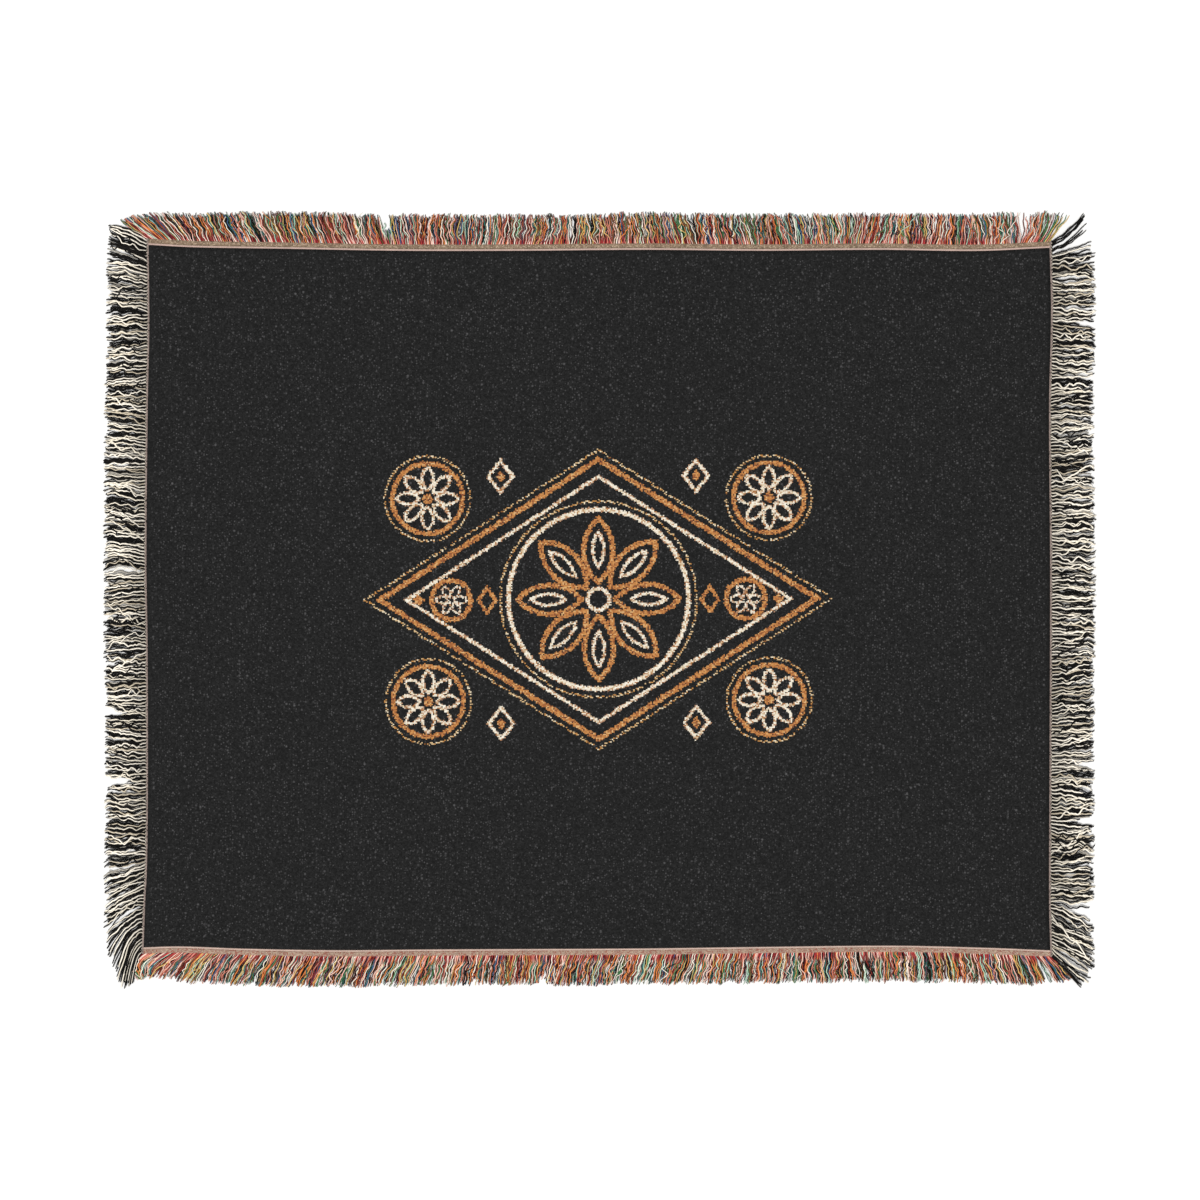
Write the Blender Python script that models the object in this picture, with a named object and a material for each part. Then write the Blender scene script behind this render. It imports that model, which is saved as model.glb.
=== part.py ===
"""A woven cotton throw blanket, laid flat and face up, in metres.

The woven panel is one thin sheet. Loose yarn fringe runs along all four sides. Each side is a narrow woven
strip, with its locks of yarn fused to it at their roots. The origin is on the floor under the middle of the
panel, +X runs along the longer side and +Y towards the back edge."""

import math
import random
from collections import namedtuple

import bmesh
import bpy
from mathutils import Vector

# The cloth
PANEL_WIDTH = 1.386
PANEL_DEPTH = 1.075
CLOTH_THICKNESS = 0.0025
HEADING_WIDTH = 0.010
SELVEDGE_WIDTH = 0.004
PIECE_GAP = 0.0007
PANEL_CELLS_ACROSS = 29
PANEL_CELLS_DEEP = 23

# How far each edge of the panel wanders outwards. Shares of a side run left to right on the front and back
# edges, and front to back on the left and right ones.
Wander = namedtuple("Wander", "share outwards_mm")
EDGE_WANDER = {
    "back": [Wander(0.00, 6.8), Wander(0.05, 3.1), Wander(0.15, 0.8), Wander(0.28, -2.3),
             Wander(0.41, -2.3), Wander(0.55, -0.8), Wander(0.68, -2.3), Wander(0.81, -0.8),
             Wander(0.92, -2.6), Wander(1.00, 2.3)],
    "front": [Wander(0.00, -0.8), Wander(0.04, -2.3), Wander(0.11, 1.1), Wander(0.21, 3.5),
              Wander(0.32, 2.3), Wander(0.55, 0.8), Wander(0.68, -1.5), Wander(0.83, -3.4),
              Wander(0.94, 0.3), Wander(1.00, 3.8)],
    "left": [Wander(0.00, 7.4), Wander(0.07, 4.6), Wander(0.11, 2.3), Wander(0.21, 0.8),
             Wander(0.43, 1.2), Wander(0.55, 3.1), Wander(0.78, 0.8), Wander(0.88, -1.4),
             Wander(1.00, -0.3)],
    "right": [Wander(0.00, 1.2), Wander(0.07, -0.8), Wander(0.27, 0.0), Wander(0.55, 0.8),
              Wander(0.77, -0.8), Wander(0.91, 2.3), Wander(1.00, 0.0)],
}

# Soft swells where the cloth stands off the floor
Swell = namedtuple("Swell", "x y half_length half_width turn_deg height")
SWELLS = [
    Swell(-0.47, 0.31, 0.26, 0.110, 24, 0.0024),
    Swell(-0.52, -0.24, 0.22, 0.100, -38, 0.0020),
    Swell(-0.08, 0.40, 0.30, 0.095, 4, 0.0018),
    Swell(0.44, 0.27, 0.25, 0.110, -28, 0.0026),
    Swell(0.50, -0.28, 0.27, 0.100, 33, 0.0022),
    Swell(0.02, -0.38, 0.30, 0.095, -6, 0.0019),
]
SWELL_FADE_START = 0.015
SWELL_FADE_END = 0.090

# The fringe
LOCKS = {"back": 82, "front": 82, "left": 66, "right": 66}
LOCK_WIDTH = 0.0122
LOCK_TOP_SHARE = 0.62

# The way the yarn lies: its lean along the side, and how far out its ends lie
Lie = namedtuple("Lie", "share lean_deg reach_mm")
FRINGE_LIE = {
    "back": [Lie(0.00, -42, 38), Lie(0.06, -33, 42), Lie(0.12, -22, 43), Lie(0.22, -8, 43),
             Lie(0.32, -3, 43), Lie(0.45, -9, 42), Lie(0.55, -6, 43), Lie(0.68, 3, 43),
             Lie(0.80, -6, 43), Lie(0.90, -4, 44), Lie(0.96, 10, 43), Lie(1.00, 32, 38)],
    "front": [Lie(0.00, -30, 40), Lie(0.06, -27, 42), Lie(0.14, -22, 43), Lie(0.21, -6, 43),
              Lie(0.35, -2, 43), Lie(0.50, -10, 43), Lie(0.60, 2, 43), Lie(0.72, 5, 43),
              Lie(0.85, 0, 43), Lie(0.94, 9, 43), Lie(1.00, 34, 41)],
    "left": [Lie(0.00, -49, 42), Lie(0.03, -40, 49), Lie(0.07, -25, 56), Lie(0.14, -7, 59),
             Lie(0.30, 2, 60), Lie(0.50, 0, 60), Lie(0.70, 3, 60), Lie(0.85, -2, 60),
             Lie(0.93, 8, 59), Lie(0.97, 18, 58), Lie(1.00, 27, 56)],
    "right": [Lie(0.00, -43, 50), Lie(0.04, -34, 57), Lie(0.08, -20, 60), Lie(0.18, -2, 61),
              Lie(0.35, 4, 61), Lie(0.50, -2, 62), Lie(0.70, 2, 61), Lie(0.86, -4, 61),
              Lie(0.95, 6, 60), Lie(0.98, 20, 56), Lie(1.00, 40, 46)],
}

# A lock's cross-sections beyond its root
LockSection = namedtuple("LockSection", "reach_share width_share height")
LOCK_SECTIONS = [
    LockSection(0.34, 1.08, 0.0046),
    LockSection(0.72, 0.98, 0.0040),
    LockSection(1.00, 0.62, 0.0020),
]
PLUMPNESS_JITTER = 0.10
REACH_JITTER = 0.0020
ROOT_JITTER = 0.045
WIDTH_JITTER = 0.06
SWAY = 0.0009
FRINGE_SEED = 11

# Colours, roughness
PANEL_FINISH = ((0.018, 0.018, 0.018), 0.95)
WARP_YARN_FINISH = ((0.33, 0.20, 0.15), 0.90)
WEFT_YARN_FINISH = ((0.32, 0.29, 0.24), 0.90)


def mix(a, b, share):
    return a + (b - a) * share


def smooth_step(t):
    t = min(max(t, 0), 1)
    return t * t * (3 - 2 * t)


def smooth_value(rows, share, column):
    """A named column of a table at a share, on a smooth curve through its rows."""
    share = min(max(share, rows[0].share), rows[-1].share)
    right = next(i for i in range(1, len(rows)) if share <= rows[i].share)
    left = right - 1

    def slope(i):
        before, after = rows[max(i - 1, 0)], rows[min(i + 1, len(rows) - 1)]
        return (getattr(after, column) - getattr(before, column)) / (after.share - before.share)

    span = rows[right].share - rows[left].share
    t = (share - rows[left].share) / span
    start, end = getattr(rows[left], column), getattr(rows[right], column)
    leave = span * slope(left) * t * (1 - t) ** 2
    arrive = span * slope(right) * t * t * (t - 1)
    return mix(start, end, smooth_step(t)) + leave + arrive


def wander(side, share):
    return smooth_value(EDGE_WANDER[side], share, "outwards_mm") / 1000


def left_x(v):
    return -PANEL_WIDTH / 2 - wander("left", v)


def right_x(v):
    return PANEL_WIDTH / 2 + wander("right", v)


def front_y(u):
    return -PANEL_DEPTH / 2 - wander("front", u)


def back_y(u):
    return PANEL_DEPTH / 2 + wander("back", u)


def on_panel(u, v):
    """A point of the panel, from its share across and its share from front to back."""
    return mix(left_x(v), right_x(v), u), mix(front_y(u), back_y(u), v)


def on_side(side, share, out):
    """A point beside the panel, from its share along that side and its distance out from the panel's edge.
    The left and right sides also pass the ends of the front and back headings."""
    if side == "back":
        return mix(left_x(1), right_x(1), share), back_y(share) + out
    if side == "front":
        return mix(left_x(0), right_x(0), share), front_y(share) - out
    corner = 0 if side == "left" else 1
    front, back = front_y(corner), back_y(corner)
    y = mix(front - HEADING_WIDTH, back + HEADING_WIDTH, share)
    v = min(max((y - front) / (back - front), 0), 1)
    if side == "left":
        return left_x(v) - out, y
    return right_x(v) + out, y


def lift(x, y, u, v):
    """How far the cloth stands off the floor. It is exactly 0 away from the swells and near the edges."""
    height = 0.0
    for swell in SWELLS:
        c, s = math.cos(math.radians(swell.turn_deg)), math.sin(math.radians(swell.turn_deg))
        along = ((x - swell.x) * c + (y - swell.y) * s) / swell.half_length
        across = ((y - swell.y) * c - (x - swell.x) * s) / swell.half_width
        inside = max(0.0, 1 - along * along - across * across)
        height += swell.height * inside * inside
    to_edge = min(min(u, 1 - u) * PANEL_WIDTH, min(v, 1 - v) * PANEL_DEPTH)
    return height * smooth_step((to_edge - SWELL_FADE_START) / (SWELL_FADE_END - SWELL_FADE_START))


def finish(name, colour_and_roughness):
    colour, roughness = colour_and_roughness
    material = bpy.data.materials.new(name)
    material.use_nodes = True
    shader = material.node_tree.nodes["Principled BSDF"]
    shader.inputs["Base Color"].default_value = (*colour, 1)
    shader.inputs["Roughness"].default_value = roughness
    shader.inputs["Metallic"].default_value = 0
    return material


def add_piece(name, mesh_builder, place, material, parent):
    """One named object whose mesh is written around its own place."""
    mesh = bpy.data.meshes.new(name)
    bmesh.ops.translate(mesh_builder, verts=mesh_builder.verts, vec=-place)
    bmesh.ops.recalc_face_normals(mesh_builder, faces=mesh_builder.faces)
    mesh_builder.to_mesh(mesh)
    mesh_builder.free()
    mesh.materials.append(material)
    mesh.shade_smooth()
    mesh.set_sharp_from_angle(angle=math.radians(40))
    piece = bpy.data.objects.new(name, mesh)
    piece.location = place
    piece.parent = parent
    bpy.context.scene.collection.objects.link(piece)
    return piece


def woven_panel(parent):
    """The woven panel: a grid of cells with an underside, a top and a rim, one cloth thickness apart."""
    builder = bmesh.new()
    sheets = []
    for base in (0, CLOTH_THICKNESS):
        rows = []
        for j in range(PANEL_CELLS_DEEP + 1):
            row = []
            for i in range(PANEL_CELLS_ACROSS + 1):
                u, v = i / PANEL_CELLS_ACROSS, j / PANEL_CELLS_DEEP
                x, y = on_panel(u, v)
                row.append(builder.verts.new((x, y, base + lift(x, y, u, v))))
            rows.append(row)
        for j in range(PANEL_CELLS_DEEP):
            for i in range(PANEL_CELLS_ACROSS):
                builder.faces.new((rows[j][i], rows[j][i + 1], rows[j + 1][i + 1], rows[j + 1][i]))
        sheets.append(rows)
    rims = []
    for rows in sheets:
        sides = [row[-1] for row in rows[1:-1]], [row[0] for row in reversed(rows[1:-1])]
        rims.append(rows[0] + sides[0] + rows[-1][::-1] + sides[1])
    under, over = rims
    for k, corner in enumerate(under):
        following = (k + 1) % len(under)
        builder.faces.new((corner, under[following], over[following], over[k]))
    return add_piece("panel", builder, Vector((0, 0, 0)), finish("jacquard_cloth", PANEL_FINISH), parent)


def strip_section(builder, side, share, inner, outer):
    """The four corners of a woven strip at one share of its side: inner and outer, below and above."""
    corners = []
    for out, z in ((inner, 0), (outer, 0), (outer, CLOTH_THICKNESS), (inner, CLOTH_THICKNESS)):
        x, y = on_side(side, share, out)
        corners.append(builder.verts.new((x, y, z)))
    return corners


def lock_sections(builder, side, share, half_width, outer, rng):
    """The rings of a lock beyond its root, four corners each, lying level on the floor."""
    lean = math.tan(math.radians(smooth_value(FRINGE_LIE[side], share, "lean_deg")))
    reach = smooth_value(FRINGE_LIE[side], share, "reach_mm") / 1000
    reach += rng.uniform(-REACH_JITTER, REACH_JITTER)
    sway = rng.uniform(-SWAY, SWAY)
    plumpness = rng.uniform(1 - PLUMPNESS_JITTER, 1 + PLUMPNESS_JITTER)
    along = Vector((1, 0)) if side in ("back", "front") else Vector((0, 1))
    rings = []
    for section in LOCK_SECTIONS:
        x, y = on_side(side, share, outer + reach * section.reach_share)
        drift = reach * lean * section.reach_share + sway * math.sin(math.pi * section.reach_share)
        centre = Vector((x, y)) + along * drift
        half, top = half_width * section.width_share, section.height * plumpness
        ring = []
        for across, z in ((-half, 0), (half, 0), (half * LOCK_TOP_SHARE, top), (-half * LOCK_TOP_SHARE, top)):
            point = centre + along * across
            ring.append(builder.verts.new((point.x, point.y, z)))
        rings.append(ring)
    return rings


def bridge(builder, first, second):
    """Four walls between two rings of four corners."""
    for k in range(4):
        following = (k + 1) % 4
        builder.faces.new((first[k], first[following], second[following], second[k]))


def fringed_strip(side, strip_width, material, parent):
    """A narrow woven strip along one side with its locks of yarn, fused to it at their roots."""
    rng = random.Random(f"{FRINGE_SEED} {side}")
    count = LOCKS[side]
    inner, outer = PIECE_GAP, PIECE_GAP + strip_width
    start, end = Vector(on_side(side, 0, 0)), Vector(on_side(side, 1, 0))
    side_length = (end - start).length
    builder = bmesh.new()
    sections = [strip_section(builder, side, 0, inner, outer)]
    builder.faces.new(sections[0])
    for i in range(count):
        share = (i + 0.5 + rng.uniform(-ROOT_JITTER, ROOT_JITTER)) / count
        half_width = LOCK_WIDTH / 2 * rng.uniform(1 - WIDTH_JITTER, 1 + WIDTH_JITTER)
        before = strip_section(builder, side, share - half_width / side_length, inner, outer)
        after = strip_section(builder, side, share + half_width / side_length, inner, outer)
        bridge(builder, sections[-1], before)
        for k in (0, 2, 3):
            following = (k + 1) % 4
            builder.faces.new((before[k], before[following], after[following], after[k]))
        root = [before[1], after[1], after[2], before[2]]
        rings = [root] + lock_sections(builder, side, share, half_width, outer, rng)
        for near, far in zip(rings, rings[1:]):
            bridge(builder, near, far)
        builder.faces.new(rings[-1])
        sections.append(after)
    last = strip_section(builder, side, 1, inner, outer)
    bridge(builder, sections[-1], last)
    builder.faces.new(last)
    place = Vector((*on_side(side, 0.5, 0), 0))
    return add_piece(f"fringe_{side}", builder, place, material, parent)


def main():
    for leftover in list(bpy.data.objects):
        bpy.data.objects.remove(leftover)
    blanket = bpy.data.objects.new("blanket", None)
    bpy.context.scene.collection.objects.link(blanket)
    woven_panel(blanket)
    warp_yarn = finish("many_coloured_warp_yarn", WARP_YARN_FINISH)
    weft_yarn = finish("black_and_cream_weft_yarn", WEFT_YARN_FINISH)
    for side in ("back", "front"):
        fringed_strip(side, HEADING_WIDTH, warp_yarn, blanket)
    for side in ("left", "right"):
        fringed_strip(side, SELVEDGE_WIDTH, weft_yarn, blanket)


main()
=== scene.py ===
"""The looks of a woven cotton throw blanket that lies flat on the floor, face up.

The panel is a jacquard weave in black cotton with a traditional medallion in ochre and cream. Its warp
yarns, in many colours, run out in a fringe along the back and front edges, past a narrow woven heading. Its
weft yarns, in black and cream, run out along the left and right edges, past a narrow selvedge. Everything
is in metres."""

import math
from collections import namedtuple

import bmesh
import bpy
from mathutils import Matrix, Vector, noise


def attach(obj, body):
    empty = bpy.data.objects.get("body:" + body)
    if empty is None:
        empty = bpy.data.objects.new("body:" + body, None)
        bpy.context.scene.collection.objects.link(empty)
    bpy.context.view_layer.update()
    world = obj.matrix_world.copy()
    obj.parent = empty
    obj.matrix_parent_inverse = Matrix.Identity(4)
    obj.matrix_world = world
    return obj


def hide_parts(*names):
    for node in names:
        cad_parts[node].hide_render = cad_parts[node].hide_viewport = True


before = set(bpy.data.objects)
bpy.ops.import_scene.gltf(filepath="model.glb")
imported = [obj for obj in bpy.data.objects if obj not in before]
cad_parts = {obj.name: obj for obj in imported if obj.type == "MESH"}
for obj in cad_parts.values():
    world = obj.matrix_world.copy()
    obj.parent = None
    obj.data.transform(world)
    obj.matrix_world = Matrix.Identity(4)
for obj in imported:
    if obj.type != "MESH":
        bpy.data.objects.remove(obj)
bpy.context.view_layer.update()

# The cloth
PANEL_WIDTH = 1.386
PANEL_DEPTH = 1.075
CLOTH_THICKNESS = 0.0025
HEADING_WIDTH = 0.010
SELVEDGE_WIDTH = 0.004
PANEL_CELLS_ACROSS = 200
PANEL_CELLS_DEEP = 156
RIM_DROP = 0.0005
RIPPLE_HEIGHT = 0.0003
RIPPLE_LENGTH = 0.055


def named_rows(kind, table):
    """A table of plain rows for each side, with its columns named."""
    return {side: [kind(*row) for row in rows] for side, rows in table.items()}


# How far each edge of the panel wanders outwards. Shares of a side run left to right on the front and back
# edges, and front to back on the left and right ones.
Wander = namedtuple("Wander", "share outwards_mm")
EDGE_WANDER = named_rows(Wander, {
    "back": [(0.00, 6.8), (0.05, 3.1), (0.15, 0.8), (0.28, -2.3), (0.41, -2.3), (0.55, -0.8),
             (0.68, -2.3), (0.81, -0.8), (0.92, -2.6), (1.00, 2.3)],
    "front": [(0.00, -0.8), (0.04, -2.3), (0.11, 1.1), (0.21, 3.5), (0.32, 2.3), (0.55, 0.8),
              (0.68, -1.5), (0.83, -3.4), (0.94, 0.3), (1.00, 3.8)],
    "left": [(0.00, 7.4), (0.07, 4.6), (0.11, 2.3), (0.21, 0.8), (0.43, 1.2), (0.55, 3.1), (0.78, 0.8),
             (0.88, -1.4), (1.00, -0.3)],
    "right": [(0.00, 1.2), (0.07, -0.8), (0.27, 0.0), (0.55, 0.8), (0.77, -0.8), (0.91, 2.3),
              (1.00, 0.0)],
})

# Soft swells where the cloth stands off the floor
Swell = namedtuple("Swell", "x y half_length half_width turn_deg height")
SWELLS = [
    Swell(-0.47, 0.31, 0.26, 0.110, 24, 0.0024),
    Swell(-0.52, -0.24, 0.22, 0.100, -38, 0.0020),
    Swell(-0.08, 0.40, 0.30, 0.095, 4, 0.0018),
    Swell(0.44, 0.27, 0.25, 0.110, -28, 0.0026),
    Swell(0.50, -0.28, 0.27, 0.100, 33, 0.0022),
    Swell(0.02, -0.38, 0.30, 0.095, -6, 0.0019),
]
SWELL_FADE_START = 0.015
SWELL_FADE_END = 0.090

# The way the fringe lies: its lean along the side, how far out its ends lie, how it curls (above 0 it leans
# early, below 0 late), how much it gathers in tufts, the share of its yarns that is missing, how much darker
# than elsewhere its yarns are, and how much its yarns cross one another
Lie = namedtuple("Lie", "share lean_deg reach_mm curl tuft thin dark cross", defaults=(0, 0.3, 0, 0, 0))
FRINGE_LIE = named_rows(Lie, {
    "back": [(0.000, -57, 26, 0.3), (0.014, -49, 34, 0.2), (0.028, -43, 38), (0.045, -35, 39),
             (0.063, -26, 40), (0.12, -22, 43), (0.20, -18, 43), (0.26, -14, 43, 0, 0.5),
             (0.31, -2, 43, 0, 0.5), (0.41, 4, 42, 0, 0.4), (0.47, 3, 42), (0.55, -6, 43),
             (0.62, -14, 43, 0, 0.5), (0.68, -8, 43, 0, 0.5), (0.74, -8, 43, 0, 0.4),
             (0.79, 7, 43, 0, 0.4), (0.86, 5, 43, 0, 0.5), (0.91, 0, 44, 0, 0.7), (0.955, -2, 44, 0, 0.6),
             (0.967, 6, 43, 0.2, 0.4, 0.45), (0.975, 14, 43, 0.4, 0.3), (0.990, 22, 42, 0.6, 0.3, 0.2),
             (1.000, 37, 38, 0, 0.6, 0.55)],
    "front": [(0.000, -12, 36, 5.0, 0), (0.016, -31, 36, 2.0, 0.2), (0.033, -45, 35, 0.6),
              (0.055, -42, 39, 0.3, 0.5), (0.08, -33, 42, 0.2, 0.5), (0.14, -26, 43), (0.21, -24, 43),
              (0.30, -22, 43, 0, 0.5), (0.38, -9, 43, 0, 0.5), (0.45, -11, 43), (0.55, -19, 43, 0, 0.5),
              (0.64, -14, 43, 0, 0.5), (0.71, -6, 43), (0.77, 5, 43), (0.85, 3, 43, 0, 0.5),
              (0.93, 15, 42, 0, 0.5), (0.967, 22, 42, 0, 0.6), (0.981, 27, 39, 0, 0.4, 0.2),
              (0.992, 34, 36, 0, 0.3), (1.000, 43, 30, 0, 0.3)],
    "left": [(0.000, -72, 12, -0.9, 0, 0, 0.2, 0.2), (0.012, -69, 21, -0.9, 0.3, 0, 0.3, 0.5),
             (0.030, -62, 32, -0.9, 0.5, 0, 0.4, 1.0), (0.045, -48, 46, -0.9, 0.6, 0, 0.3, 1.6),
             (0.056, -40, 53, -0.7, 0.6, 0, 0.6, 1.6), (0.065, -34, 55, -0.6, 0.6, 0, 0.1, 2.0),
             (0.090, -27, 57, -0.4, 0.5, 0, 0.2, 2.0), (0.13, -12, 59, -0.2, 0.3, 0, 0, 1.3),
             (0.18, -2, 59, 0, 0.3, 0, 0, 0.4), (0.30, 2, 59), (0.50, 0, 59, 0, 0.4), (0.70, 3, 59),
             (0.85, -2, 59), (0.94, 8, 58, 0.3, 0.3, 0, 0.1), (0.965, 18, 57, 0.4, 0.5, 0, 0.3),
             (0.985, 26, 54, -0.2, 0.7, 0, 0.4, 0.3), (0.995, 23, 53, 0.5, 0.3, 0, 0.3),
             (1.000, 21, 52, 0.9, 0.3, 0.6, 0.4)],
    "right": [(0.000, -46, 45, 0, 0.7, 0, 0.3), (0.007, -41, 52, 0, 0.7, 0.1, 0.2, 0.2),
              (0.014, -31, 59, 0.2, 0.6, 0, 0, 0.4), (0.033, -25, 61, -0.4, 0.5, 0, 0.1, 0.7),
              (0.040, -28, 61, 0, 0.5, 0, 0.2, 0.7), (0.058, -27, 61, 0.2, 0.5, 0, 0.2, 0.6),
              (0.071, -20, 60, -0.7, 0.5, 0, 0.1, 0.3), (0.0742, -11, 60, -0.5, 0.6, 0.8),
              (0.0775, -3, 62, 0, 0.7), (0.12, -1, 61, 0, 0.6), (0.18, -2, 61), (0.35, 4, 61),
              (0.50, -2, 62), (0.70, 2, 61), (0.86, -4, 61, 0, 0.4), (0.94, 0, 61, 0, 0.6, 0, 0, 0.8),
              (0.966, 6, 61, 0, 0.6, 0, 0.1, 0.8), (0.979, 16, 59, 0, 0.6, 0.1, 0.1, 0.4),
              (0.986, 34, 50, -0.5, 0.9, 0.6, 0.1), (1.000, 42, 45, -0.3, 0.9, 0.6, 0.1)],
})

# Where the fringe parts: along the side, how far the yarns on either hand are pushed aside at their ends and
# in their middles, how far along the side the push is felt, and how much shorter the yarns right there are
Parting = namedtuple("Parting", "share ends_mm middles_mm spread_mm short", defaults=(0,))
PARTINGS = named_rows(Parting, {
    "back": [(0.085, 2, 0, 12), (0.269, 5, 1, 13, 0.6), (0.467, 2, 3, 12), (0.611, 4, 0, 14),
             (0.731, 4, 0, 14), (0.967, 6, 2, 22)],
    "front": [(0.110, 3, 1, 14), (0.371, 3, 0, 10, 0.3), (0.445, 3, 0, 14, 0.25), (0.618, 2, 2, 12),
              (0.905, 3, 0, 14), (0.985, 5, 2, 16)],
    "left": [(0.066, 0, 4, 14), (0.2265, 2, 0, 8, 0.4), (0.241, 5, 0, 14, 0.65), (0.337, 4, 0, 12, 0.4),
             (0.403, 3, 0, 10, 0.2), (0.470, 3, 0, 10, 0.2), (0.535, 1, 4.5, 16), (0.745, 1, 2, 14),
             (0.968, 1, 3, 14)],
    "right": [(0.012, 1, 5.5, 13), (0.036, 7, 2, 20), (0.074, 5, 0, 20), (0.115, 0, 4, 9),
              (0.190, 3, 0, 10, 0.45), (0.2145, 0, 4, 9), (0.235, 3, 1, 9, 0.4), (0.268, 3, 0, 10, 0.5),
              (0.325, 2, 3, 14), (0.640, 3, 2, 14), (0.814, 4, 0, 12, 0.45), (0.887, 3, 0, 10, 0.4),
              (0.908, 1, 3.5, 12), (0.946, 1, 5, 16)],
})
# How wide the shortening and the loss of room are, in spreads, and how much more of its room is lost
SHORT_BREADTH = 0.5
ROOM_BREADTH = 1.4
ROOM_LOSS = 1.6
OUTWARDS = {"back": (0, 1, 0), "front": (0, -1, 0), "left": (-1, 0, 0), "right": (1, 0, 0)}
ALONG = {"back": (1, 0, 0), "front": (1, 0, 0), "left": (0, 1, 0), "right": (0, 1, 0)}

# The cross-section of a woven strip
StripPoint = namedtuple("StripPoint", "share height")
STRIP_SECTION = [
    StripPoint(-0.03, 0.0004), StripPoint(-0.03, 0.0021), StripPoint(0.03, 0.0028),
    StripPoint(0.18, 0.0029), StripPoint(0.30, 0.0025), StripPoint(0.50, 0.0026), StripPoint(0.75, 0.0025),
    StripPoint(0.93, 0.0023), StripPoint(1.00, 0.0017), StripPoint(1.00, 0.0004),
]
STRIP_CELL = 0.006

# Loose yarns, by the names of the fringe tree's inputs
# Dark Below draws the yarns underneath mostly dark: partly real dark yarns, partly a painted shade between
# the yarns above
WARP_FRINGE = {
    "Yarns": 1700, "Steps": 12, "Thickness": 0.0015, "Alternation": 0.85, "Dark Below": 0.35, "Waves": 0.008,
    "Wave Length": 0.010, "Clumping": 0.005, "Wiggle": 0.006, "Uneven Ends": 0.005, "Ragged Ends": 0.0042,
}
WEFT_FRINGE = {
    "Yarns": 850, "Steps": 22, "Thickness": 0.0023, "Alternation": 0.99, "Dark Below": 0.30, "Waves": 0.010,
    "Wave Length": 0.012, "Wave Width": 0.034, "Clumping": 0.0032, "Tufting": 0.35, "Wiggle": 0.0066,
    "Group Lean": 0.55, "Ragged Ends": 0.0045,
}
WEFT_YARN_PITCH = 0.0024
GUIDE_STATIONS = 361
CORNER_ROOM = 0.07
UPPER_LAYER = 0.45
LOWER_FREEDOM = 0.35
WAVES_WITHOUT_ROOM = 0.4
CROSS_CLUMPING = 0.0025
ASTRAY_ABOVE = 0.85
SPENT_ATTRIBUTES = (
    "lean", "reach", "curl", "tuft", "thin", "dark", "cross", "room", "part_ends", "part_middles",
    "outwards", "along", "root", "liveliness", "stray", "cut", "girth",
)

# Over what lengths along the side and along a yarn its ends, drift, clumps and tufts change
ENDS_WIDTH = 0.013
DRIFT_WIDTH, DRIFT_LENGTH = 0.055, 0.040
CLUMP_WIDTH, CLUMP_LENGTH = 0.010, 0.018
BEAT_WIDTH, BEAT_SHIFT = 0.03, 0.02
GATHER_WIDTH = 0.05
# Where in the noise each kind of movement is read, and how far from there the upper layer reads it
NOISE_PAGE = {"drift": 0.0, "waves": 20.0, "wiggle": 40.0, "ends": 60.0, "bounce": 80.0, "beat": 100.0,
              "gather": 120.0, "clumps": 140.0, "groups": 180.0}
UPPER_PAGE = 30.0

# Threads of the weave, and the lines of the medallion
WARP_PITCH = 0.0011
WEFT_PITCH = 0.0014
FLECK_SPACING = 0.0036
BRIGHT_FLECK_SPACING = 0.0060
FLOAT_WIDTH = 0.0022
FLOAT_DEPTH = 0.0019
STROKE = 0.0078
FINE_STROKE = 0.0052
CONTOUR_STROKE = 0.0036
CONTOUR_GAP = 0.0125

# The medallion's motifs in one quarter. The others are its mirror images.
Lozenge = namedtuple("Lozenge", "x y half_width half_height")
Ring = namedtuple("Ring", "x y radius")
Flower = namedtuple("Flower", "x y petals root tip half_width")
FRAME = Lozenge(0, 0, 0.335, 0.215)
FRAME_INSET = 0.022
INNER_LOZENGE = Lozenge(0.171, 0, 0.013, 0.019)
FRAME_TIP = Lozenge(0.276, 0, 0.009, 0.009)
OUTER_LOZENGE = Lozenge(0.150, 0.190, 0.019, 0.024)
OUTER_HEART = Lozenge(0.150, 0.190, 0.007, 0.009)
CENTRE_RING, CENTRE_HEART = Ring(0, 0, 0.138), Ring(0, 0, 0.0165)
SIDE_RING = Ring(0.226, 0, 0.030)
CORNER_RING, CORNER_HEART = Ring(0.262, 0.156, 0.054), Ring(0.262, 0.156, 0.0075)
CENTRE_FLOWER = Flower(0, 0, 8.0, 0.026, 0.124, 0.0225)
INNER_FLOWER = Flower(0, 0, 8.0, 0.050, 0.104, 0.0085)
SIDE_FLOWER = Flower(0.226, 0, 6.0, 0.005, 0.0235, 0.0055)
CORNER_FLOWER = Flower(0.262, 0.156, 8.0, 0.013, 0.0475, 0.0088)


def srgb(code):
    """The linear colour of a web colour code."""
    channels = [int(code[i:i + 2], 16) / 255 for i in (0, 2, 4)]
    return tuple(c / 12.92 if c <= 0.04045 else ((c + 0.055) / 1.055) ** 2.4 for c in channels) + (1.0,)


# Shapes

def mix(a, b, share):
    return a + (b - a) * share


def smooth_step(t):
    t = min(max(t, 0), 1)
    return t * t * (3 - 2 * t)


def smooth_value(rows, share, column):
    """A named column of a table at a share, on a smooth curve through its rows."""
    share = min(max(share, rows[0].share), rows[-1].share)
    right = next(i for i in range(1, len(rows)) if share <= rows[i].share)
    left = right - 1

    def slope(i):
        before, after = rows[max(i - 1, 0)], rows[min(i + 1, len(rows) - 1)]
        return (getattr(after, column) - getattr(before, column)) / (after.share - before.share)

    span = rows[right].share - rows[left].share
    t = (share - rows[left].share) / span
    start, end = getattr(rows[left], column), getattr(rows[right], column)
    leave = span * slope(left) * t * (1 - t) ** 2
    arrive = span * slope(right) * t * t * (t - 1)
    return mix(start, end, smooth_step(t)) + leave + arrive


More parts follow.
